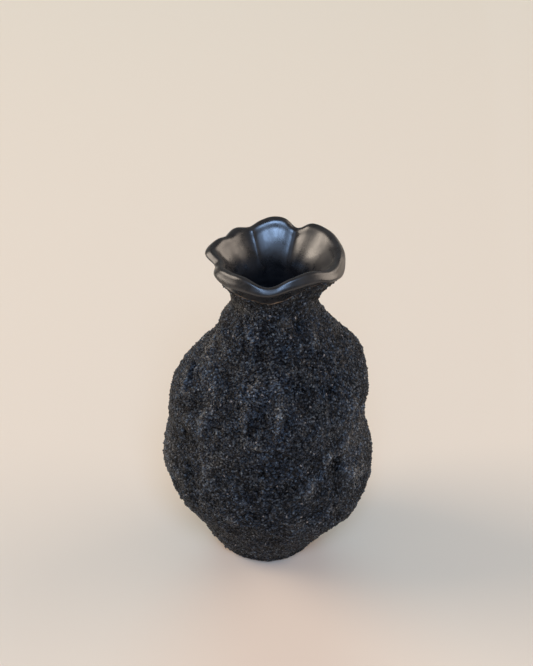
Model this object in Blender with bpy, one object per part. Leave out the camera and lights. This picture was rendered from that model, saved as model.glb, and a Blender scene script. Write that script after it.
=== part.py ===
"""Stoneware bottle vase: a two-lobed body with a narrow neck and a fluted, rolled lip.

The pot stands on +Z with the middle of its outline over the origin. Every surface comes from one outline,
turned round the pot's axis and pressed out of round by a few broad lumps. A clay part, a coat or a glaze
film is the material between two depths under that outline.
"""

import math

import bmesh
import bpy
import numpy as np

# Layers, measured inwards from the outside of the coat, in metres.
COAT = 0.0022  # fired volcanic grit
GAP = 0.0003  # left between touching parts
CLAY_WALL = 0.0035
GLAZE = 0.0006
CLAY_OUTSIDE = COAT + GAP
CLAY_INSIDE = CLAY_OUTSIDE + CLAY_WALL
GLAZE_BACK = CLAY_INSIDE + GAP
HOLLOW = GLAZE_BACK + GLAZE

# Heights of the joints between the clay parts.
COAT_FOOT = 0.0016
FOOT_TOP = 0.0070
SLAB_TOP = 0.0120
WAIST = 0.0930
SHOULDER_TOP = 0.1530
NECK_TOP = 0.1780

# Outline of the pot: height and radius of the outside.
OUTLINE = (
    (0.000, 0.0290),
    (0.006, 0.0325),
    (0.020, 0.0415),
    (0.036, 0.0515),
    (0.054, 0.0592),
    (0.072, 0.0615),
    (0.090, 0.0600),
    (0.104, 0.0588),
    (0.118, 0.0565),
    (0.132, 0.0492),
    (0.145, 0.0385),
    (0.156, 0.0310),
    (0.168, 0.0268),
    (0.178, 0.0255),
)

# Lumps pressed into the wall: azimuth in degrees, height, push, and how far each spreads round and up.
LUMPS = (
    (25, 0.141, 0.0082, 50, 0.017),
    (172, 0.112, 0.0024, 42, 0.018),
    (358, 0.096, -0.0032, 45, 0.014),
    (188, 0.068, 0.0018, 45, 0.020),
    (343, 0.056, 0.0034, 45, 0.018),
    (212, 0.032, -0.0026, 35, 0.010),
    (332, 0.041, 0.0030, 35, 0.009),
)
LEAN = 0.0045  # how far the neck stands off the foot's axis, towards +X
LEAN_HEIGHT = 0.190

# The lip's flutes: azimuth in degrees, then radius and height of the crest (the inner edge) and of the
# rolled outer edge, in millimetres.
FLUTES = (
    (0, 35.5, 207.0, 40.0, 203.5),
    (20, 35.5, 208.0, 40.0, 205.5),
    (37, 36.0, 209.0, 40.5, 207.0),
    (54, 35.0, 209.0, 39.5, 206.5),
    (68, 33.0, 205.0, 37.5, 202.5),
    (80, 34.0, 209.5, 38.5, 206.5),
    (90, 34.0, 210.5, 38.5, 207.5),
    (103, 33.5, 208.5, 38.0, 206.0),
    (114, 32.5, 206.0, 37.0, 203.5),
    (128, 33.5, 207.0, 38.5, 205.0),
    (142, 32.5, 206.0, 37.0, 203.5),
    (155, 33.5, 207.5, 38.0, 205.0),
    (173, 34.5, 206.5, 39.5, 204.0),
    (190, 29.5, 205.0, 34.0, 202.5),
    (206, 32.5, 207.0, 37.5, 202.5),
    (222, 33.5, 208.5, 38.0, 202.0),
    (240, 34.5, 209.5, 38.5, 203.5),
    (264, 35.0, 206.0, 39.0, 203.0),
    (285, 34.0, 210.5, 38.0, 206.0),
    (306, 33.5, 211.5, 38.0, 206.5),
    (325, 35.5, 208.0, 40.0, 203.0),
    (345, 35.5, 206.5, 40.0, 200.0),
)
FLARE_OUT = 1.7  # power of the lip's outward sweep, by the share of its height
FLARE_UP = 0.9
RIM_CROWN = 0.0007  # how far the rounded rim stands above the line from edge to crest

# Where the glaze stops on the outside of the lip, as a share of the lip's height, by azimuth.
GLAZE_STOP = (
    (30, 0.66),
    (90, 0.62),
    (150, 0.66),
    (175, 0.74),
    (205, 0.70),
    (225, 0.60),
    (245, 0.52),
    (265, 0.47),
    (287, 0.50),
    (302, 0.62),
    (320, 0.78),
    (340, 0.78),
)

SEGMENTS = 48
BODY_ROWS = (0.021, 0.031, 0.042, 0.054, 0.067, 0.080, 0.103, 0.113, 0.123, 0.133, 0.143, 0.165)
LIP_ROWS = 6  # rows on each side of the lip
RIM_ROWS = 2  # rows over the rim, between edge and crest

FOOT_INNER = 0.0215  # radius of the recess under the foot
FOOT_CHAMFER = 0.0008

AZIMUTHS = np.arange(SEGMENTS) * 360.0 / SEGMENTS


def smooth_through(xs, ys, x):
    """A cubic curve through the points, with each point's slope taken from its neighbours."""
    slopes = np.gradient(ys, xs)
    x = np.clip(x, xs[0], xs[-1])
    i = np.clip(np.searchsorted(xs, x) - 1, 0, len(xs) - 2)
    step = xs[i + 1] - xs[i]
    t = (x - xs[i]) / step
    start = (2 * t**3 - 3 * t**2 + 1) * ys[i] + (t**3 - 2 * t**2 + t) * step * slopes[i]
    end = (3 * t**2 - 2 * t**3) * ys[i + 1] + (t**3 - t**2) * step * slopes[i + 1]
    return start + end


def round_the_pot(table, column):
    """A table's column at every azimuth, as a smooth closed curve."""
    table = np.array(table, float)
    xs = np.concatenate([table[:, 0] - 360, table[:, 0], table[:, 0] + 360])
    return smooth_through(xs, np.tile(table[:, column], 3), AZIMUTHS)


def outside_radius(height):
    """Radius of the outside at every azimuth, lumps included."""
    outline = np.array(OUTLINE)
    radius = smooth_through(outline[:, 0], outline[:, 1], np.full(SEGMENTS, height))
    for azimuth, middle, push, spread, rise in LUMPS:
        turn = (AZIMUTHS - azimuth + 180) % 360 - 180
        radius += push * np.exp(-((turn / spread) ** 2) - ((height - middle) / rise) ** 2)
    return radius


def lean(height):
    share = np.clip(np.asarray(height) / LEAN_HEIGHT, 0, 1)
    return LEAN * share**2 * (3 - 2 * share)


def placed(radius, height):
    """Points of one ring, from its radius and height at every azimuth."""
    turn = np.radians(AZIMUTHS)
    height = np.broadcast_to(height, AZIMUTHS.shape)
    return np.stack([radius * np.cos(turn) + lean(height), radius * np.sin(turn), height], axis=1)


def body_ring(height, depth):
    """A ring of the body, at a depth measured square to the wall."""
    nudge = 0.0005
    slope = (outside_radius(height + nudge) - outside_radius(height - nudge)) / (2 * nudge)
    return placed(outside_radius(height) - depth * np.sqrt(1 + slope**2), height)


def body_rings(low, high, depth):
    """Rings from one height up to another, with the shared rows between them."""
    joints = (COAT_FOOT, FOOT_TOP, SLAB_TOP, WAIST, SHOULDER_TOP)
    rows = sorted(h for h in BODY_ROWS + joints if low + 2 * GAP < h < high - 2 * GAP)
    return [body_ring(height, depth) for height in (low, *rows, high)]


def lip_section():
    """The lip's exposed section, (radius, height) by row and azimuth: up the outside, over the rim, down."""
    crest_radius, crest_height, edge_radius, edge_height = (
        round_the_pot(FLUTES, column) / 1000 for column in (1, 2, 3, 4)
    )
    stop = round_the_pot(GLAZE_STOP, 1)
    neck = outside_radius(NECK_TOP)
    rows = []
    for share in np.linspace(0, 1, LIP_ROWS + 1):
        rise = np.where(share < 0.5, stop * share / 0.5, stop + (1 - stop) * (share - 0.5) / 0.5)
        radius = neck + (edge_radius - neck) * rise**FLARE_OUT
        rows.append((radius, NECK_TOP + (edge_height - NECK_TOP) * rise**FLARE_UP))
    for share in np.arange(1, RIM_ROWS + 1) / (RIM_ROWS + 1):
        crown = RIM_CROWN * math.sin(math.pi * share)
        radius = edge_radius + (crest_radius - edge_radius) * share
        rows.append((radius, edge_height + (crest_height - edge_height) * math.sin(share * math.pi / 2) + crown))
    for share in np.linspace(1, 0, LIP_ROWS + 1):
        radius = neck - HOLLOW + (crest_radius - neck + HOLLOW) * share**FLARE_OUT
        rows.append((radius, NECK_TOP + (crest_height - NECK_TOP) * share**FLARE_UP))
    return np.array(rows).transpose(0, 2, 1)


def sunk(section, depth):
    """The section moved into the clay by a depth, which may differ from row to row."""
    along = np.gradient(section, axis=0)
    along /= np.linalg.norm(along, axis=2, keepdims=True)
    inwards = np.stack([-along[..., 1], along[..., 0]], axis=2)
    return section + inwards * np.broadcast_to(depth, (len(section), SEGMENTS))[..., None]


def lip_rings(section):
    return [placed(row[:, 0], row[:, 1]) for row in section]


def level_end(ring, height):
    """The ring moved up or down to one height, for a joint face that lies flat."""
    ring = ring.copy()
    ring[:, 2] = height
    return ring


def material(name, colour, roughness, coat=0.0):
    made = bpy.data.materials.new(name)
    made.use_nodes = True
    shader = made.node_tree.nodes["Principled BSDF"]
    shader.inputs["Base Color"].default_value = (*colour, 1.0)
    shader.inputs["Roughness"].default_value = roughness
    shader.inputs["Metallic"].default_value = 0.0
    shader.inputs["Coat Weight"].default_value = coat
    made.diffuse_color = (*colour, 1.0)
    return made


def skin(name, rings, finish, closed_section=True, capped_at=()):
    """Joins rings of equal length into one body: a ring of section, or a stack closed by caps."""
    mesh = bmesh.new()
    loops = [[mesh.verts.new(point) for point in ring] for ring in rings]
    pairs = list(zip(loops, loops[1:]))
    if closed_section:
        pairs.append((loops[-1], loops[0]))
    for lower, upper in pairs:
        for i in range(SEGMENTS):
            j = (i + 1) % SEGMENTS
            mesh.faces.new((lower[i], lower[j], upper[j], upper[i]))
    for index in capped_at:
        mesh.faces.new(loops[index])
    bmesh.ops.recalc_face_normals(mesh, faces=mesh.faces)
    bmesh.ops.triangulate(mesh, faces=[face for face in mesh.faces if len(face.verts) == 4])
    return link(name, mesh, finish)


def link(name, mesh, finish):
    data = bpy.data.meshes.new(name)
    mesh.to_mesh(data)
    mesh.free()
    data.shade_smooth()
    data.set_sharp_from_angle(angle=math.radians(40))
    data.materials.append(finish)
    thing = bpy.data.objects.new(name, data)
    bpy.context.scene.collection.objects.link(thing)
    return thing


def foot_ring(finish):
    """The turned foot: a chamfered section spun round the foot's axis."""
    low, high = (float(outside_radius(height)[0]) for height in (0.0, FOOT_TOP))
    under_coat = CLAY_OUTSIDE * math.hypot(1, (high - low) / FOOT_TOP)
    low, high = low - under_coat, high - under_coat
    section = (
        (FOOT_INNER + FOOT_CHAMFER, 0.0),
        (low - FOOT_CHAMFER, 0.0),
        (low, FOOT_CHAMFER),
        (high, FOOT_TOP),
        (FOOT_INNER, FOOT_TOP),
        (FOOT_INNER, FOOT_CHAMFER),
    )
    mesh = bmesh.new()
    corners = [mesh.verts.new((radius, 0, height)) for radius, height in section]
    edges = [mesh.edges.new((a, b)) for a, b in zip(corners, corners[1:] + corners[:1])]
    bmesh.ops.spin(
        mesh,
        geom=corners + edges,
        cent=(0, 0, 0),
        axis=(0, 0, 1),
        angle=math.tau,
        steps=SEGMENTS,
        use_merge=True,
    )
    bmesh.ops.recalc_face_normals(mesh, faces=mesh.faces)
    return link("foot_ring", mesh, finish)


def base_slab(finish):
    rings = [body_ring(FOOT_TOP + GAP, CLAY_OUTSIDE), body_ring(SLAB_TOP, CLAY_OUTSIDE)]
    return skin("base_slab", rings, finish, closed_section=False, capped_at=(0, -1))


def clay_wall(name, low, high, finish):
    """A thrown wall part, from joint to joint."""
    outer = body_rings(low, high, CLAY_OUTSIDE)
    inner = body_rings(low, high, CLAY_INSIDE)
    return skin(name, outer + inner[::-1], finish)


def fluted_lip(finish):
    """The clay of the lip, thinner where the thick coat covers it than where the thin glaze does."""
    section = lip_section()
    stop_row = LIP_ROWS // 2
    depth = np.full(len(section), HOLLOW - CLAY_INSIDE)
    depth[: stop_row + 1] = CLAY_OUTSIDE
    rings = lip_rings(sunk(section, depth[:, None]))
    rings[0] = level_end(body_ring(NECK_TOP, CLAY_OUTSIDE), NECK_TOP + GAP)
    rings[-1] = level_end(body_ring(NECK_TOP, CLAY_INSIDE), NECK_TOP + GAP)
    return skin("fluted_lip", rings, finish)


def grit_coat(finish):
    """The rough coat, from just above the foot's edge to where the lip's glaze stops."""
    section = lip_section()
    below_glaze = slice(1, LIP_ROWS // 2 + 1)
    outer = body_rings(COAT_FOOT, NECK_TOP, 0.0) + lip_rings(section[below_glaze])
    inner = body_rings(COAT_FOOT, NECK_TOP, COAT) + lip_rings(sunk(section, COAT)[below_glaze])
    return skin("grit_coat", outer + inner[::-1], finish)


def liner_glaze(finish):
    """The glossy film: over the floor, up the inside, over the rim and down to where it stops outside."""
    section = lip_section()
    from_stop = slice(LIP_ROWS // 2, len(section) - 1)
    face = section.copy()
    back = sunk(section, GLAZE)
    stop_row = LIP_ROWS // 2
    step_up = 2 * GAP / np.linalg.norm(section[stop_row + 1] - section[stop_row], axis=1)[:, None]
    for rows in (face, back):
        rows[stop_row] += (rows[stop_row + 1] - rows[stop_row]) * step_up
    down = body_rings(SLAB_TOP + GAP + GLAZE, NECK_TOP, HOLLOW)[::-1]
    down_back = body_rings(SLAB_TOP + GAP, NECK_TOP, GLAZE_BACK)[::-1]
    back_rings = lip_rings(back[from_stop]) + down_back
    face_rings = lip_rings(face[from_stop]) + down
    rings = back_rings[::-1] + face_rings
    return skin("liner_glaze", rings, finish, closed_section=False, capped_at=(0, -1))


def centre(things):
    """Moves every part so that the middle of the pot's outline stands on the Z axis."""
    points = np.array([vertex.co for thing in things for vertex in thing.data.vertices])
    middle = (points.min(axis=0) + points.max(axis=0)) / 2
    for thing in things:
        for vertex in thing.data.vertices:
            vertex.co.x -= middle[0]
            vertex.co.y -= middle[1]


def main():
    for thing in list(bpy.data.objects):
        bpy.data.objects.remove(thing)
    clay = material("bare_stoneware", (0.085, 0.062, 0.050), 0.85)
    grit = material("volcanic_grit", (0.022, 0.023, 0.027), 0.75)
    gloss = material("black_gloss_glaze", (0.010, 0.011, 0.014), 0.10, coat=0.5)
    centre(
        [
            foot_ring(clay),
            base_slab(clay),
            clay_wall("lower_bowl", SLAB_TOP + GAP, WAIST, clay),
            clay_wall("upper_bowl", WAIST + GAP, SHOULDER_TOP, clay),
            clay_wall("neck_collar", SHOULDER_TOP + GAP, NECK_TOP, clay),
            fluted_lip(clay),
            liner_glaze(gloss),
            grit_coat(grit),
        ]
    )


main()
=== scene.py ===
"""Looks of the stoneware bottle vase: its rough grit coat, its glossy black glaze and its bare clay foot.

The pot's outline, lumps and flutes repeat the design's own values, in metres. Its axis and the heights of its
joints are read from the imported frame.
"""

import math

import bpy
import numpy as np
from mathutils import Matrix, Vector, noise


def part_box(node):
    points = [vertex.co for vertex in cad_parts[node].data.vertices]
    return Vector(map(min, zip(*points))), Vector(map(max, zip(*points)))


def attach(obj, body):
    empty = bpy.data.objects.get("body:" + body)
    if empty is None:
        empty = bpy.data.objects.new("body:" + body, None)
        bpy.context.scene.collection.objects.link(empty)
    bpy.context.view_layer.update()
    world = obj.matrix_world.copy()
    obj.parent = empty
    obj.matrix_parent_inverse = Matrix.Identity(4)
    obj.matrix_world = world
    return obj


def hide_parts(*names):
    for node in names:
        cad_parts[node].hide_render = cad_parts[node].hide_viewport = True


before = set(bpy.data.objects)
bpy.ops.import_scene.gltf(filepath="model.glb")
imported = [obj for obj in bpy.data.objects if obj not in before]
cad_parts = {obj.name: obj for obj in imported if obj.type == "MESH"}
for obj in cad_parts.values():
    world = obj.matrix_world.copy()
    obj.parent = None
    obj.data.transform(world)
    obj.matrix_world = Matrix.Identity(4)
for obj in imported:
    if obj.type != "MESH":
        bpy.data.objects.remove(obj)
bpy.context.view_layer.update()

TURN = 360.0  # degrees in a turn

# ---------------------------------------------------------------- driving dimensions, in metres
FOOT_LOW, FOOT_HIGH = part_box("foot_ring")
AXIS_X = (FOOT_LOW[0] + FOOT_HIGH[0]) / 2
AXIS_Y = (FOOT_LOW[1] + FOOT_HIGH[1]) / 2
FOOT_TOP = FOOT_HIGH[2]
SLAB_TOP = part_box("base_slab")[1][2]
NECK_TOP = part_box("neck_collar")[1][2]
COAT_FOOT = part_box("grit_coat")[0][2]

COAT = 0.0022
GAP = 0.0003
CLAY_WALL = 0.0035
GLAZE = 0.0006
EDGE = 0.00012  # how far the thin edge of the glaze stands off its face
HOLLOW = COAT + GAP + CLAY_WALL + GAP + GLAZE

# Outline of the pot: height and radius of the outside.
OUTLINE = (
    (0.000, 0.0290),
    (0.006, 0.0325),
    (0.020, 0.0415),
    (0.036, 0.0515),
    (0.054, 0.0592),
    (0.072, 0.0615),
    (0.090, 0.0600),
    (0.104, 0.0588),
    (0.118, 0.0565),
    (0.132, 0.0492),
    (0.145, 0.0385),
    (0.156, 0.0310),
    (0.168, 0.0268),
    (0.178, 0.0255),
)

# Lumps pressed into the wall: azimuth in degrees, height, push, and how far each spreads round and up.
LUMPS = (
    (25, 0.141, 0.0082, 50, 0.017),
    (172, 0.112, 0.0024, 42, 0.018),
    (358, 0.096, -0.0032, 45, 0.014),
    (188, 0.068, 0.0018, 45, 0.020),
    (343, 0.056, 0.0034, 45, 0.018),
    (212, 0.032, -0.0026, 35, 0.010),
    (332, 0.041, 0.0030, 35, 0.009),
)

# Where the coat is laid on thicker or thinner than the even coat of the design, in the same form.
SWELLS = (
    (184, 0.159, 0.0021, 60, 0.0085),
    (184, 0.1765, -0.0019, 65, 0.0070),
    (4, 0.160, 0.0014, 55, 0.0080),
    (4, 0.1775, -0.0012, 60, 0.0060),
    (100, 0.158, 0.0012, 45, 0.0090),
)

LEAN = 0.0045  # how far the neck stands off the foot's axis, towards +X
LEAN_HEIGHT = 0.190

# The lip's flutes: azimuth, then radius and height of the crest (the inner edge) and of the rolled outer
# edge, in millimetres.
FLUTES = (
    (0, 35.5, 207.0, 40.0, 203.5),
    (20, 35.5, 208.0, 40.0, 205.5),
    (37, 36.0, 209.0, 40.5, 207.0),
    (54, 35.0, 209.0, 39.5, 206.5),
    (68, 33.0, 205.0, 37.5, 202.5),
    (80, 34.0, 209.5, 38.5, 206.5),
    (90, 34.0, 210.5, 38.5, 207.5),
    (103, 33.5, 208.5, 38.0, 206.0),
    (114, 32.5, 206.0, 37.0, 203.5),
    (128, 33.5, 207.0, 38.5, 205.0),
    (142, 32.5, 206.0, 37.0, 203.5),
    (155, 33.5, 207.5, 38.0, 205.0),
    (173, 34.5, 206.5, 39.5, 204.0),
    (190, 29.5, 205.0, 34.0, 202.5),
    (206, 32.5, 207.0, 37.5, 202.5),
    (222, 33.5, 208.5, 38.0, 202.0),
    (240, 34.5, 209.5, 38.5, 203.5),
    (264, 35.0, 206.0, 39.0, 203.0),
    (285, 34.0, 210.5, 38.0, 206.0),
    (306, 33.5, 211.5, 38.0, 206.5),
    (325, 35.5, 208.0, 40.0, 203.0),
    (345, 35.5, 206.5, 40.0, 200.0),
)
FLARE_OUT, FLARE_UP = 1.7, 0.9  # powers of the lip's sweep outwards and upwards, by the share of its height
RIM_CROWN = 0.0007  # how far the rounded rim stands above the line from edge to crest

# Where the glaze stops on the outside of the lip, by azimuth, as a share of the lip's height. The grit laps
# over the design's own line where it climbs towards the rim.
GLAZE_STOP = (
    (30, 0.72),
    (90, 0.62),
    (150, 0.66),
    (175, 0.78),
    (195, 0.90),
    (210, 0.80),
    (225, 0.66),
    (245, 0.56),
    (265, 0.52),
    (283, 0.56),
    (298, 0.74),
    (312, 0.92),
    (330, 0.94),
    (350, 0.88),
)

# Sharp folds down the inside of the lip: azimuth, how far each stands in, and its half width in degrees.
CREASES = (
    (114, 0.0007, 2.6),
    (68, 0.0003, 3.0),
)
CREASE_FADE = 0.7  # power by which they fade down to the neck, by the share of the lip's height

LIP_KNOTS = 6  # knots of the lip's section on each side of it
RIM_KNOTS = 2

GLAZE_SEGMENTS = 360
GLAZE_STEP = 0.0011  # between rows of the glaze inside the pot
LIP_STEP = 0.00066  # between rows of the glaze on the lip
GLAZE_RIPPLES = ((0.009, 0.00012), (0.022, 0.00030))  # size and height of the glaze's soft unevenness
FLOOR_SHARES = (0.97, 0.9, 0.75, 0.5, 0.25, 0.08)  # rings of the glaze on the pot's floor
NUDGE = 0.0005  # step up and down that gives the outline's slope


# ---------------------------------------------------------------- shape of the pot
def smooth_through(xs, ys, x):
    """A cubic curve through the points, with each point's slope taken from its neighbours."""
    slopes = np.gradient(ys, xs)
    x = np.clip(x, xs[0], xs[-1])
    i = np.clip(np.searchsorted(xs, x) - 1, 0, len(xs) - 2)
    step = xs[i + 1] - xs[i]
    t = (x - xs[i]) / step
    start = (2 * t**3 - 3 * t**2 + 1) * ys[i] + (t**3 - 2 * t**2 + t) * step * slopes[i]
    end = (3 * t**2 - 2 * t**3) * ys[i + 1] + (t**3 - t**2) * step * slopes[i + 1]
    return start + end


def azimuths(segments):
    return np.arange(segments) * TURN / segments


def round_the_pot(table, column, azimuth):
    """A table's column at each azimuth, as a smooth closed curve."""
    table = np.array(table, float)
    xs = np.concatenate([table[:, 0] - TURN, table[:, 0], table[:, 0] + TURN])
    return smooth_through(xs, np.tile(table[:, column], 3), azimuth)


def lumps(table, azimuth, height):
    """The pushes of a table's lumps together."""
    push = np.zeros(np.shape(height))
    for centre, middle, most, spread, rise in table:
        turn = (azimuth - centre + TURN / 2) % TURN - TURN / 2
        push = push + most * np.exp(-((turn / spread) ** 2) - ((height - middle) / rise) ** 2)
    return push


def outside_radius(azimuth, height):
    """Radius of the outside, lumps included, for arrays of azimuth and height."""
    outline = np.array(OUTLINE)
    azimuth, height = np.broadcast_arrays(azimuth, height)
    return smooth_through(outline[:, 0], outline[:, 1], height) + lumps(LUMPS, azimuth, height)


def lean(height):
    share = np.clip(height / LEAN_HEIGHT, 0, 1)
    return LEAN * share**2 * (3 - 2 * share)


def placed(azimuth, section):
    """Points in the frame, (row, azimuth, xyz), of a section given as (row, azimuth, (radius, height))."""
    radius, height = section[..., 0], section[..., 1]
    turn = np.radians(azimuth)
    x = AXIS_X + lean(height) + radius * np.cos(turn)
    return np.stack([x, AXIS_Y + radius * np.sin(turn), height], axis=-1)


def body_section(azimuth, heights, depth):
    """The body's wall at a depth measured square to it, one row for each height."""
    azimuth, height = np.meshgrid(azimuth, heights)
    above, below = outside_radius(azimuth, height + NUDGE), outside_radius(azimuth, height - NUDGE)
    slope = (above - below) / (2 * NUDGE)
    return np.stack([outside_radius(azimuth, height) - depth * np.sqrt(1 + slope**2), height], axis=-1)


def lip_knots(azimuth, stop):
    """Knots of the lip's section: up the outside, over the rim and down the inside, to the neck."""
    crest_radius, crest_height, edge_radius, edge_height = (
        round_the_pot(FLUTES, column, azimuth) / 1000 for column in (1, 2, 3, 4)
    )
    neck = outside_radius(azimuth, np.full(azimuth.shape, NECK_TOP))
    rows = []
    for share in np.linspace(0, 1, LIP_KNOTS + 1):
        rise = np.where(share < 0.5, stop * share / 0.5, stop + (1 - stop) * (share - 0.5) / 0.5)
        radius = neck + (edge_radius - neck) * rise**FLARE_OUT
        rows.append((radius, NECK_TOP + (edge_height - NECK_TOP) * rise**FLARE_UP))
    for share in np.arange(1, RIM_KNOTS + 1) / (RIM_KNOTS + 1):
        crown = RIM_CROWN * math.sin(math.pi * share)
        radius = edge_radius + (crest_radius - edge_radius) * share
        climb = math.sin(share * math.pi / 2)
        rows.append((radius, edge_height + (crest_height - edge_height) * climb + crown))
    for share in np.linspace(1, 0, LIP_KNOTS + 1):
        radius = neck - HOLLOW + (crest_radius - neck + HOLLOW) * share**FLARE_OUT
        rows.append((radius, NECK_TOP + (crest_height - NECK_TOP) * share**FLARE_UP))
    return np.array(rows).transpose(0, 2, 1)


def creased(azimuth):
    """How far the folds inside the lip stand in, by azimuth: each is sharp at its middle."""
    rise = np.zeros(np.shape(azimuth))
    for centre, height, spread in CREASES:
        turn = (azimuth - centre + TURN / 2) % TURN - TURN / 2
        rise = rise + height * np.exp(-np.abs(turn) / spread)
    return rise


def smooth_rows(knots, step):
    """Rows about a step apart on the smooth curve through the knots of each azimuth."""
    spans = np.linalg.norm(np.diff(knots, axis=0), axis=2)[..., None]
    chords = np.diff(knots, axis=0) / spans
    inner = (chords[:-1] * spans[1:] + chords[1:] * spans[:-1]) / (spans[1:] + spans[:-1])
    slopes = np.concatenate([chords[:1], inner, chords[-1:]])
    rows = []
    for i, span in enumerate(spans):
        count = max(2, round(float(span.mean()) / step))
        for t in np.arange(count) / count:
            start = (2 * t**3 - 3 * t**2 + 1) * knots[i] + (t**3 - 2 * t**2 + t) * span * slopes[i]
            end = (3 * t**2 - 2 * t**3) * knots[i + 1] + (t**3 - t**2) * span * slopes[i + 1]
            rows.append(start + end)
    rows.append(knots[-1])
    return np.array(rows)


# ---------------------------------------------------------------- meshes
def grid_normals(points):
    """Outward unit normals of a closed grid of points, (row, azimuth, xyz)."""
    up = np.gradient(points, axis=0)
    round_it = (np.roll(points, -1, axis=1) - np.roll(points, 1, axis=1)) / 2
    normals = np.cross(round_it, up)
    return normals / np.maximum(np.linalg.norm(normals, axis=2, keepdims=True), 1e-12)


def grid_piece(name, points, smooth=True, cap_last=False, relief=None):
    """A mesh object from rows of points that close round the pot, with how far each stands out."""
    rows, segments = points.shape[:2]
    here = np.arange(rows * segments).reshape(rows, segments)
    right = np.roll(here, -1, axis=1)
    quads = np.stack([here[:-1], right[:-1], right[1:], here[1:]], axis=-1).reshape(-1, 4)
    faces = quads.tolist()
    if cap_last:
        faces.append(here[-1].tolist())
    mesh = bpy.data.meshes.new(name)
    mesh.from_pydata(points.reshape(-1, 3).tolist(), [], faces)
    if smooth:
        mesh.shade_smooth()
    else:
        mesh.shade_flat()
    mesh.update()
    if relief is not None:
        heights = mesh.attributes.new("relief", "FLOAT", "POINT")
        heights.data.foreach_set("value", relief.astype(np.float32).ravel())
    piece = bpy.data.objects.new(name, mesh)
    bpy.context.scene.collection.objects.link(piece)
    return piece


# ---------------------------------------------------------------- the grit coat
# Dents and ridges in the coat: azimuth in degrees, height, push, half length, half width, and the turn of its
# long side away from upright, in degrees, towards a greater azimuth.
# Through the coat's colour relief their rises are also painted lighter, a painted sheen, and their hollows
# darker, a painted shade.
DENTS = (
    (191, 0.148, 0.0020, 0.0100, 0.0042, -12),
    (206, 0.154, 0.0013, 0.0080, 0.0038, -50),
    (194, 0.133, -0.0024, 0.0075, 0.0019, -62),
    (200, 0.127, 0.0019, 0.0095, 0.0030, -72),
    (208, 0.140, 0.0012, 0.0085, 0.0046, -40),
    (214, 0.122, -0.0021, 0.0062, 0.0056, 0),
    (226, 0.120, 0.0018, 0.0105, 0.0030, 6),
    (222, 0.136, 0.0009, 0.0070, 0.0050, -30),
    (212, 0.100, -0.0020, 0.0100, 0.0034, -20),
    (220, 0.080, -0.0022, 0.0100, 0.0036, -15),
    (226, 0.062, -0.0016, 0.0080, 0.0034, -5),
    (190, 0.074, 0.0012, 0.0140, 0.0110, 0),
    (231, 0.092, 0.0012, 0.0150, 0.0040, -18),
    (257, 0.1425, 0.0027, 0.0066, 0.0025, 26),
    (247, 0.138, 0.0015, 0.0050, 0.0026, 10),
    (272, 0.143, 0.0007, 0.0085, 0.0040, 4),
    (264, 0.1265, -0.0016, 0.0060, 0.0036, 0),
    (272, 0.126, 0.0008, 0.0210, 0.0210, 0),
    (254, 0.125, 0.0020, 0.0095, 0.0022, -6),
    (274, 0.126, 0.0020, 0.0090, 0.0022, 10),
    (264, 0.113, 0.0014, 0.0052, 0.0025, 88),
    (280, 0.1063, -0.0014, 0.0060, 0.0048, 20),
    (291, 0.082, 0.0022, 0.0062, 0.0042, 35),
    (298, 0.118, 0.0013, 0.0075, 0.0040, 40),
    (306, 0.0995, 0.0020, 0.0044, 0.0036, 40),
    (311, 0.089, -0.0015, 0.0044, 0.0036, 0),
    (319, 0.104, 0.0015, 0.0080, 0.0044, 30),
    (325, 0.121, 0.0020, 0.0085, 0.0040, 60),
    (340, 0.112, 0.0014, 0.0070, 0.0044, 30),
    (322, 0.078, 0.0015, 0.0080, 0.0046, -30),
    (326, 0.088, 0.0006, 0.0240, 0.0160, 0),
    (334, 0.064, -0.0013, 0.0070, 0.0040, 20),
    (352, 0.107, -0.0014, 0.0080, 0.0024, 85),
    (281, 0.174, 0.0018, 0.0085, 0.0026, 4),
    (261, 0.171, -0.0010, 0.0080, 0.0034, 0),
    (301, 0.171, -0.0010, 0.0090, 0.0034, 0),
    (243, 0.166, 0.0014, 0.0090, 0.0028, -14),
    (318, 0.162, 0.0012, 0.0100, 0.0028, 10),
    (249, 0.058, 0.0013, 0.0060, 0.0050, 0),
    (284, 0.056, 0.0012, 0.0070, 0.0040, 40),
    (20, 0.126, 0.0016, 0.0090, 0.0040, 30),
    (35, 0.100, -0.0016, 0.0080, 0.0050, 0),
    (52, 0.120, 0.0014, 0.0110, 0.0032, -20),
    (64, 0.086, 0.0017, 0.0080, 0.0036, 25),
    (78, 0.108, -0.0018, 0.0070, 0.0055, 10),
    (88, 0.134, 0.0014, 0.0080, 0.0030, 0),
    (97, 0.092, 0.0016, 0.0100, 0.0030, -30),
    (112, 0.112, 0.0014, 0.0060, 0.0040, 50),
    (124, 0.080, -0.0018, 0.0090, 0.0045, -15),
    (138, 0.104, 0.0016, 0.0100, 0.0034, 20),
    (150, 0.126, -0.0014, 0.0070, 0.0040, 0),
    (160, 0.090, 0.0014, 0.0080, 0.0050, -40),
    (108, 0.056, 0.0013, 0.0090, 0.0038, 15),
    (72, 0.052, -0.0014, 0.0070, 0.0046, -25),
    (40, 0.064, 0.0013, 0.0080, 0.0044, 30),
    (14, 0.078, -0.0014, 0.0080, 0.0036, 10),
    (146, 0.060, 0.0012, 0.0080, 0.0050, -10),
    (60, 0.160, 0.0012, 0.0090, 0.0028, 8),
    (110, 0.162, 0.0012, 0.0090, 0.0030, -8),
    (156, 0.160, 0.0012, 0.0090, 0.0028, 12),
)
UPRIGHT_STRETCH = 1.25  # distance along the sloping wall for each unit of height, about
FOLD_SIZE, FOLD = 0.0160, 0.0008  # soft folds of the hand-built wall
FOLD_CREST, FOLD_CREASE = 0.55, 2.4  # the height between folds, and how steeply it falls to their creases
FINE_FOLD, FINER = 0.35, 2.3  # share of a second, finer run of folds, and how much finer it is
CLOT_SIZE, CLOT = 0.0034, 0.00105  # clots of coarse grit, thick in some places and missing in others
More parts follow.
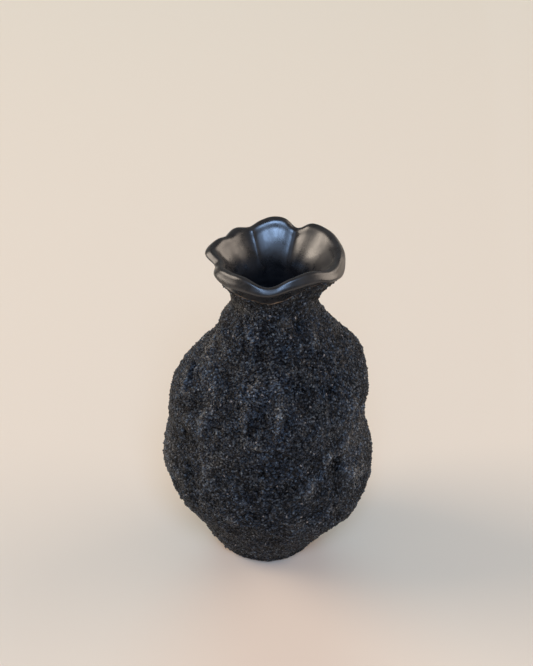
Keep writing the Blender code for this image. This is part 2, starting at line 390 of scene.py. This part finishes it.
CLOT_FALL, CLOT_LEAST, CLOT_MIDDLE = 1.7, 0.35, 0.35
PATCH_SIZE = 0.020  # how broad those places are
PATCH_GAIN, PATCH_MIDDLE, PATCH_LEAST = 1.6, 0.45, 0.25
OFFSET = Vector((3.7, 1.9, 8.2))
DRIFT_SIZE, DRIFT = 0.0060, 0.0024  # how far the dents' outlines wander
GRAIN_SIZE, GRAIN = 0.00145, 0.00095
GRAIN_LEAST, GRAIN_MIDDLE, GRAIN_TILT = 0.4, 0.45, 0.40
JOINT_SLOPE = 2.0  # how steeply a grain rises out of the joint round it
RAGGED = 0.00020  # unevenness from one corner of the mesh to the next
DEEPEST = 0.0017  # the most that dents and folds take from the coat
LIP_DEEPEST = 0.0005  # the coat is thin where it climbs the lip
FOOT_CALM = 0.25  # share of the roughness left at the very foot
SEED = 11

# How much each kind of rise lightens or darkens the coat's colour, as a share of its height over HIGHEST:
# partly wear, partly painted shade in low places and painted sheen on high ones.
HIGHEST = 0.0024
FOLD_WEAR_AND_SHADING, CLOT_WEAR_AND_SHADING, RIDGE_WEAR_AND_SHEEN, DENT_WEAR_AND_SHADE, GRAIN_WEAR_AND_SHADING = 0.5, 0.9, 0.90, 0.30, 0.85

# The coat's mesh has all its segments between the first and last of these heights, and half elsewhere.
WIDE_FROM, WIDE_MIDDLE, WIDE_TO = 0.022, 0.078, 0.141
COAT_SEGMENTS = 704
COAT_STEP = 0.00052


def arc_heights(low, high, step):
    """Heights whose rows lie a step apart along the outline."""
    outline = np.array(OUTLINE)
    fine = np.linspace(low, high, 4000)
    radius = smooth_through(outline[:, 0], outline[:, 1], fine)
    arc = np.concatenate([[0.0], np.cumsum(np.hypot(np.diff(fine), np.diff(radius)))])
    return np.interp(np.linspace(0.0, arc[-1], round(arc[-1] / step) + 1), arc, fine)


def dents(azimuth, height, radius, drift):
    """The pushes of all the dents and ridges. A small drift of each place makes their shapes irregular."""
    azimuth = azimuth + np.degrees(drift[..., 0] / radius)
    height = height + drift[..., 1]
    push = np.zeros(azimuth.shape)
    for centre, middle, depth, length, width, turned in DENTS:
        across = np.radians((azimuth - centre + TURN / 2) % TURN - TURN / 2) * radius
        up = (height - middle) * UPRIGHT_STRETCH
        turn = math.radians(turned)
        along = up * math.cos(turn) + across * math.sin(turn)
        aside = across * math.cos(turn) - up * math.sin(turn)
        push += depth * np.exp(-((along / length) ** 2) - (aside / width) ** 2)
    return push


def folds(point):
    """The height of the soft creased folds, and of the clots of coarse grit that lie on them."""
    spot = point / FOLD_SIZE
    fold = FOLD_CREST - abs(noise.noise(spot)) * FOLD_CREASE + noise.noise(spot * FINER) * FINE_FOLD
    patch = noise.noise(point / PATCH_SIZE + OFFSET) * PATCH_GAIN + PATCH_MIDDLE
    coarse = PATCH_LEAST + (1 - PATCH_LEAST) * max(0.0, min(1.0, patch))
    distances, centres = noise.voronoi(point / CLOT_SIZE)
    chance = abs(noise.cell(centres[0] * 5.1))
    clot = max(0.0, 1 - distances[0] ** 2 * CLOT_FALL) * (CLOT_LEAST + chance)
    return FOLD * fold, CLOT * coarse * (clot - CLOT_MIDDLE)


def grains(point):
    """One tilted top for each grain, with a deep joint between neighbours."""
    spot = point / GRAIN_SIZE
    distances, centres = noise.voronoi(spot)
    chance = noise.cell_vector(centres[0] * 7.3)
    joint = min(1.0, (distances[1] - distances[0]) * JOINT_SLOPE)
    off = spot - centres[0]
    tilt = chance.y * off.x + chance.z * off.z + chance.x * off.y
    top = GRAIN_LEAST + (1 - GRAIN_LEAST) * abs(chance.x)
    return GRAIN * (joint * top - GRAIN_MIDDLE + GRAIN_TILT * tilt)


def wander(point):
    """How far a place's dents drift, round and up."""
    spot = point / DRIFT_SIZE
    return DRIFT * noise.noise(spot + OFFSET), DRIFT * noise.noise(spot - OFFSET)


def coat_surface(azimuth, section, draw):
    """The coat's rough outside, and how far each of its points stands out, from its smooth section."""
    points = placed(azimuth, section)
    normals = grid_normals(points)
    grid = points.shape[:2]
    radius, height = section[..., 0], section[..., 1]
    turned = np.broadcast_to(azimuth, grid)
    flat = [Vector(point) for point in points.reshape(-1, 3).tolist()]
    fold, clot = np.moveaxis(np.array([folds(point) for point in flat]).reshape(*grid, 2), 2, 0)
    fine = np.array([grains(point) for point in flat]).reshape(grid)
    drift = np.array([wander(point) for point in flat]).reshape(*grid, 2)
    dent = dents(turned, height, radius, drift)
    calm = np.clip(height / FOOT_TOP, FOOT_CALM, 1)
    broad = fold + clot + dent + lumps(SWELLS, turned, height)
    ragged = draw.uniform(-RAGGED, RAGGED, grid)
    # Colour relief: the coat is painted darker where it lies low, a painted shade, and lighter where it
    # stands high, a painted sheen, partly also wear.
    worn_and_shaded = FOLD_WEAR_AND_SHADING * fold + CLOT_WEAR_AND_SHADING * clot + np.where(dent > 0, RIDGE_WEAR_AND_SHEEN, DENT_WEAR_AND_SHADE) * dent
    relief = worn_and_shaded / HIGHEST + GRAIN_WEAR_AND_SHADING * fine / GRAIN
    shallow = np.where(height > NECK_TOP, -LIP_DEEPEST, -COAT)
    push = np.maximum((np.maximum(broad, -DEEPEST) + fine) * calm + ragged, shallow)
    return points + normals * push[..., None], relief


def wobble(azimuth, size, amount, seed):
    """A small smooth unevenness round the pot."""
    turn = np.radians(azimuth)
    ring = [Vector((math.cos(a) / size, math.sin(a) / size, seed)) for a in turn]
    return np.array([noise.noise(point) for point in ring]) * amount


def glaze_stop(azimuth):
    """Where the glaze stops: the broad line, with a ragged edge."""
    ragged = wobble(azimuth, 0.10, 0.030, 3.1) + wobble(azimuth, 0.035, 0.022, 7.7)
    return round_the_pot(GLAZE_STOP, 1, azimuth) + ragged


def coat_pieces():
    """The coat as four meshes that share their edge rows, the narrow parts with half the segments."""
    draw = np.random.default_rng(SEED)
    azimuth = azimuths(COAT_SEGMENTS)
    body = body_section(azimuth, arc_heights(COAT_FOOT, NECK_TOP, COAT_STEP), 0.0)
    lip = smooth_rows(lip_knots(azimuth, glaze_stop(azimuth))[: LIP_KNOTS // 2 + 1], COAT_STEP)
    points, relief = coat_surface(azimuth, np.concatenate([body, lip[1:]]), draw)
    heights = body[:, 0, 1]
    low, middle, high = (int(np.searchsorted(heights, z)) for z in (WIDE_FROM, WIDE_MIDDLE, WIDE_TO))
    for row in (low, high):
        points[row, 1::2] = (points[row, ::2] + np.roll(points[row, ::2], -1, axis=0)) / 2
    spans = (
        ("grit_on_foot", 0, low, 2),
        ("grit_on_lower_belly", low, middle, 1),
        ("grit_on_upper_belly", middle, high, 1),
        ("grit_on_neck", high, len(points) - 1, 2),
    )
    made = []
    for name, first, last, every in spans:
        part, rise = points[first : last + 1, ::every], relief[first : last + 1, ::every]
        if first == 0:
            part, rise = tucked(part, rise, low=True)
        if last == len(points) - 1:
            part, rise = tucked(part, rise, low=False)
        made.append(grid_piece(name, part, smooth=False, relief=rise))
    return made


def tucked(points, relief, low):
    """The rows with one more at an end, turned in to the clay."""
    normals = grid_normals(points)
    if low:
        edge = points[0] - normals[0] * (COAT + GAP)
        return np.concatenate([edge[None], points]), np.concatenate([relief[:1], relief])
    edge = points[-1] - normals[-1] * (COAT + GAP)
    return np.concatenate([points, edge[None]]), np.concatenate([relief, relief[-1:]])


# ---------------------------------------------------------------- the glaze
def glaze_pieces():
    """The glaze from its ragged edge over the lip and down to the pot's floor, and that edge's thin band."""
    azimuth = azimuths(GLAZE_SEGMENTS)
    knots = lip_knots(azimuth, glaze_stop(azimuth))[LIP_KNOTS // 2 :]
    share = np.linspace(1, 0, LIP_KNOTS + 1)[:, None]
    knots[-LIP_KNOTS - 1 :, :, 0] -= creased(azimuth) * share**CREASE_FADE
    lip = smooth_rows(knots, LIP_STEP)
    heights = np.arange(NECK_TOP, SLAB_TOP + GAP + GLAZE, -GLAZE_STEP)[1:]
    inside = body_section(azimuth, heights, HOLLOW)
    bottom = [inside[-1] * (share, 1.0) for share in FLOOR_SHARES]
    section = np.concatenate([lip, inside, bottom])
    section[-len(bottom) :, :, 1] = SLAB_TOP + GAP + GLAZE
    points = placed(azimuth, section)
    normals = grid_normals(points)
    ripple = [
        sum(noise.noise(Vector(point) / size) * height for size, height in GLAZE_RIPPLES)
        for point in points.reshape(-1, 3).tolist()
    ]
    points = points + normals * np.reshape(ripple, points.shape[:2])[..., None]
    tuck = points[0] - normals[0] * (GLAZE + GAP)
    edge = normals[0] * EDGE
    band = np.array([tuck - edge, points[0] + edge, points[1] + edge, points[1] - normals[1] * GLAZE])
    points = np.concatenate([tuck[None], points])
    return grid_piece("glossy_glaze", points, cap_last=True), grid_piece("glaze_edge", band)


# ---------------------------------------------------------------- materials
GRIT_SPECK = 0.00105  # size of the specks of colour
GRIT_FACET = 0.0006  # size of the shining faces on a grain
FACET_TILT = 0.28
RELIEF_SPAN = 0.9  # the relief runs from about minus this to plus this
PALE_FROM = 0.9958  # a speck with a draw above this is a pale or an orange grain


def new_material(name):
    made = bpy.data.materials.new(name)
    made.use_nodes = True
    tree = made.node_tree
    return made, tree, tree.nodes["Principled BSDF"]


def add(tree, kind, **settings):
    node = tree.nodes.new(kind)
    for key, value in settings.items():
        if hasattr(node, key):
            setattr(node, key, value)
        else:
            node.inputs[key.replace("_", " ")].default_value = value
    return node


def facet_normals(tree, where, size, strength):
    """A normal turned at random in each cell of a given size, like the faces of crushed grit."""
    cells = add(tree, "ShaderNodeTexVoronoi", feature="F1", Scale=1 / size)
    tree.links.new(where, cells.inputs["Vector"])
    centred = add(tree, "ShaderNodeVectorMath", operation="SUBTRACT")
    centred.inputs[1].default_value = (0.5, 0.5, 0.5)
    tree.links.new(cells.outputs["Color"], centred.inputs[0])
    scaled = add(tree, "ShaderNodeVectorMath", operation="SCALE")
    scaled.inputs["Scale"].default_value = strength
    tree.links.new(centred.outputs["Vector"], scaled.inputs[0])
    surface = add(tree, "ShaderNodeNewGeometry")
    summed = add(tree, "ShaderNodeVectorMath", operation="ADD")
    tree.links.new(surface.outputs["Normal"], summed.inputs[0])
    tree.links.new(scaled.outputs["Vector"], summed.inputs[1])
    unit = add(tree, "ShaderNodeVectorMath", operation="NORMALIZE")
    tree.links.new(summed.outputs["Vector"], unit.inputs[0])
    return unit.outputs["Vector"]


def ramp_node(tree, fac, *stops, interpolation="LINEAR"):
    """A colour ramp of (position, colour) stops."""
    ramp = add(tree, "ShaderNodeValToRGB")
    ramp.color_ramp.interpolation = interpolation
    elements = ramp.color_ramp.elements
    while len(elements) < len(stops):
        elements.new(1.0)
    for element, (position, colour) in zip(elements, stops):
        element.position, element.color = position, (*colour, 1)
    tree.links.new(fac, ramp.inputs["Fac"])
    return ramp.outputs["Color"]


def mixed(tree, blend, one, other, share=1.0):
    """Two colours mixed."""
    mix = add(tree, "ShaderNodeMix", data_type="RGBA", blend_type=blend)
    mix.inputs["Factor"].default_value = share
    tree.links.new(one, mix.inputs[6])
    tree.links.new(other, mix.inputs[7])
    return mix.outputs[2]


def grit_material():
    made, tree, shader = new_material("volcanic_grit")
    where = add(tree, "ShaderNodeTexCoord").outputs["Object"]
    specks = add(tree, "ShaderNodeTexVoronoi", feature="F1", Scale=1 / GRIT_SPECK)
    tree.links.new(where, specks.inputs["Vector"])
    pick = add(tree, "ShaderNodeSeparateColor")
    tree.links.new(specks.outputs["Color"], pick.inputs["Color"])
    speck = ramp_node(
        tree,
        pick.outputs["Red"],
        (0.0, (0.001, 0.001, 0.0015)),
        (0.36, (0.007, 0.007, 0.008)),
        (0.62, (0.028, 0.028, 0.030)),
        (0.87, (0.066, 0.065, 0.064)),
        (0.990, (0.13, 0.12, 0.11)),
        interpolation="CONSTANT",
    )
    patch = add(tree, "ShaderNodeTexNoise", Scale=75.0, Detail=4.0, Roughness=0.6)
    tree.links.new(where, patch.inputs["Vector"])
    tint = ramp_node(
        tree,
        patch.outputs["Fac"],
        (0.36, (0.52, 0.73, 0.98)),
        (0.54, (0.75, 0.85, 0.93)),
        (0.72, (1.24, 1.19, 1.05)),
    )
    # The relief paints the coat's colour: much darker in hollows and creases, a painted shade, and much
    # lighter on ridges and grain tops, a painted sheen, partly also wear.
    rise = add(tree, "ShaderNodeAttribute", attribute_name="relief").outputs["Fac"]
    shifted = add(tree, "ShaderNodeMapRange", From_Min=-RELIEF_SPAN, From_Max=RELIEF_SPAN)
    tree.links.new(rise, shifted.inputs["Value"])
    wear_and_shading = ramp_node(
        tree,
        shifted.outputs["Result"],
        (0.14, (0.10, 0.11, 0.12)),
        (0.46, (1.08, 1.13, 1.19)),
        (0.92, (2.8, 2.75, 2.7)),
    )
    painted = mixed(tree, "MULTIPLY", mixed(tree, "MULTIPLY", speck, tint), wear_and_shading)
    grain = ramp_node(
        tree,
        pick.outputs["Blue"],
        (0.0, (0.24, 0.21, 0.19)),
        (0.9988, (0.42, 0.38, 0.34)),
        (0.9996, (0.55, 0.20, 0.09)),
        interpolation="CONSTANT",
    )
    pale = ramp_node(
        tree, pick.outputs["Blue"], (0.0, (0, 0, 0)), (PALE_FROM, (1, 1, 1)), interpolation="CONSTANT"
    )
    strewn = add(tree, "ShaderNodeMix", data_type="RGBA")
    tree.links.new(pale, strewn.inputs["Factor"])
    tree.links.new(painted, strewn.inputs[6])
    tree.links.new(grain, strewn.inputs[7])
    tree.links.new(strewn.outputs[2], shader.inputs["Base Color"])
    rough = add(tree, "ShaderNodeMapRange", From_Min=0.1, From_Max=0.9, To_Min=0.75, To_Max=0.36)
    tree.links.new(shifted.outputs["Result"], rough.inputs["Value"])
    tree.links.new(rough.outputs["Result"], shader.inputs["Roughness"])
    gleam = add(tree, "ShaderNodeMapRange", From_Min=0.15, From_Max=0.9, To_Min=0.04, To_Max=0.62)
    tree.links.new(shifted.outputs["Result"], gleam.inputs["Value"])
    tree.links.new(gleam.outputs["Result"], shader.inputs["Specular IOR Level"])
    tree.links.new(facet_normals(tree, where, GRIT_FACET, FACET_TILT), shader.inputs["Normal"])
    return made


def glaze_material():
    made, tree, shader = new_material("black_gloss_glaze")
    where = add(tree, "ShaderNodeTexCoord").outputs["Object"]
    cloud = add(tree, "ShaderNodeTexNoise", Scale=90.0, Detail=5.0, Roughness=0.65, Distortion=0.6)
    tree.links.new(where, cloud.inputs["Vector"])
    dark, light = (0.005, 0.0055, 0.007), (0.016, 0.0155, 0.0165)
    black = ramp_node(tree, cloud.outputs["Fac"], (0.35, dark), (0.70, light))
    tree.links.new(black, shader.inputs["Base Color"])
    rough = add(tree, "ShaderNodeMapRange", From_Min=0.35, From_Max=0.65, To_Min=0.21, To_Max=0.40)
    tree.links.new(cloud.outputs["Fac"], rough.inputs["Value"])
    tree.links.new(rough.outputs["Result"], shader.inputs["Roughness"])
    shader.inputs["IOR"].default_value = 1.62
    return made


def edge_material():
    made, tree, shader = new_material("glaze_edge")
    where = add(tree, "ShaderNodeTexCoord").outputs["Object"]
    cloud = add(tree, "ShaderNodeTexNoise", Scale=220.0, Detail=3.0)
    tree.links.new(where, cloud.inputs["Vector"])
    tan = ramp_node(
        tree,
        cloud.outputs["Fac"],
        (0.42, (0.010, 0.009, 0.009)),
        (0.55, (0.10, 0.065, 0.040)),
        (0.68, (0.24, 0.16, 0.10)),
    )
    tree.links.new(tan, shader.inputs["Base Color"])
    shader.inputs["Roughness"].default_value = 0.5
    return made


def clay_material():
    made, tree, shader = new_material("bare_stoneware")
    where = add(tree, "ShaderNodeTexCoord").outputs["Object"]
    cloud = add(tree, "ShaderNodeTexNoise", Scale=400.0, Detail=6.0, Roughness=0.65)
    tree.links.new(where, cloud.inputs["Vector"])
    brown = ramp_node(tree, cloud.outputs["Fac"], (0.3, (0.060, 0.044, 0.035)), (0.72, (0.125, 0.092, 0.072)))
    tree.links.new(brown, shader.inputs["Base Color"])
    shader.inputs["Roughness"].default_value = 0.85
    bump = add(tree, "ShaderNodeBump", Strength=0.4, Distance=0.0003)
    tree.links.new(cloud.outputs["Fac"], bump.inputs["Height"])
    tree.links.new(bump.outputs["Normal"], shader.inputs["Normal"])
    return made


def floor_material():
    made, _, shader = new_material("cream_floor")
    shader.inputs["Base Color"].default_value = (0.770, 0.628, 0.497, 1)
    shader.inputs["Roughness"].default_value = 0.7
    return made


# ---------------------------------------------------------------- the stage
FLOOR_HALF = 12.0
SPREAD = math.radians(120)  # gridded lights leave no bright pool on the floor beside them
WORLD_COLOUR, WORLD_STRENGTH = (1.0, 0.92, 0.84, 1), 0.27
FAR_PLACE, FAR_AIM, FAR_SIZE = (-0.3, 4.0, 1.8), (0, 0, 0.05), (3.2, 2.2)

PITCH = 34.0  # degrees that the camera looks down by
DISTANCE = 0.84
LENS = 78.0  # millimetres, on a sensor 36 mm wide
AIM_HEIGHT = 0.153


def floor():
    corners = [(x * FLOOR_HALF, y * FLOOR_HALF, 0) for x, y in ((-1, -1), (1, -1), (1, 1), (-1, 1))]
    mesh = bpy.data.meshes.new("floor")
    mesh.from_pydata(corners, [], [(0, 1, 2, 3)])
    made = bpy.data.objects.new("floor", mesh)
    bpy.context.scene.collection.objects.link(made)
    made.data.materials.append(floor_material())


def area_light(name, place, aim, size, power, colour):
    light = bpy.data.lights.new(name, "AREA")
    light.shape = "RECTANGLE"
    light.size, light.size_y = size
    light.energy = power
    light.color = colour
    light.spread = SPREAD
    made = bpy.data.objects.new(name, light)
    made.location = place
    made.rotation_euler = (Vector(aim) - Vector(place)).to_track_quat("-Z", "Y").to_euler()
    bpy.context.scene.collection.objects.link(made)
    return made


def lights():
    world = bpy.data.worlds.new("room")
    bpy.context.scene.world = world
    world.use_nodes = True
    back = world.node_tree.nodes["Background"]
    back.inputs["Color"].default_value = WORLD_COLOUR
    back.inputs["Strength"].default_value = WORLD_STRENGTH
    area_light("front_window", (0.15, -2.4, 2.7), (0, 0, 0.15), (1.4, 1.0), 32.0, (0.42, 0.63, 1.0))
    area_light("left_window", (-3.2, 0.5, 1.7), (0, 0, 0.10), (2.2, 2.3), 50.0, (1.0, 0.86, 0.72))
    area_light("bright_wall", (3.1, 0.9, 1.2), (0, 0, 0.10), (3.2, 2.2), 37.0, (1.0, 0.84, 0.70))
    far = area_light("far_wall", FAR_PLACE, FAR_AIM, FAR_SIZE, 42.0, (0.30, 0.74, 1.0))
    far.visible_glossy = False
    area_light("far_window", FAR_PLACE, FAR_AIM, FAR_SIZE, 7.0, (0.60, 0.82, 1.0))


def camera():
    data = bpy.data.cameras.new("camera")
    data.lens = LENS
    data.sensor_width = 36.0
    made = bpy.data.objects.new("camera", data)
    aim = Vector((AXIS_X, AXIS_Y, AIM_HEIGHT))
    back = Vector((0, -math.cos(math.radians(PITCH)), math.sin(math.radians(PITCH))))
    made.location = aim + back * DISTANCE
    made.rotation_euler = (-back).to_track_quat("-Z", "Y").to_euler()
    bpy.context.scene.collection.objects.link(made)
    bpy.context.scene.camera = made


def main():
    camera()
    floor()
    lights()
    grit, gloss, clay = grit_material(), glaze_material(), clay_material()
    for piece in coat_pieces():
        piece.data.materials.append(grit)
        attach(piece, "root")
        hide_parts("grit_coat")
    for piece, material in zip(glaze_pieces(), (gloss, edge_material())):
        piece.data.materials.append(material)
        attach(piece, "root")
        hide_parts("liner_glaze")
    for name in ("foot_ring", "base_slab", "lower_bowl", "upper_bowl", "neck_collar", "fluted_lip"):
        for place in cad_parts[name].material_slots:
            place.material = clay
    bpy.context.scene.view_settings.view_transform = "Standard"


main()
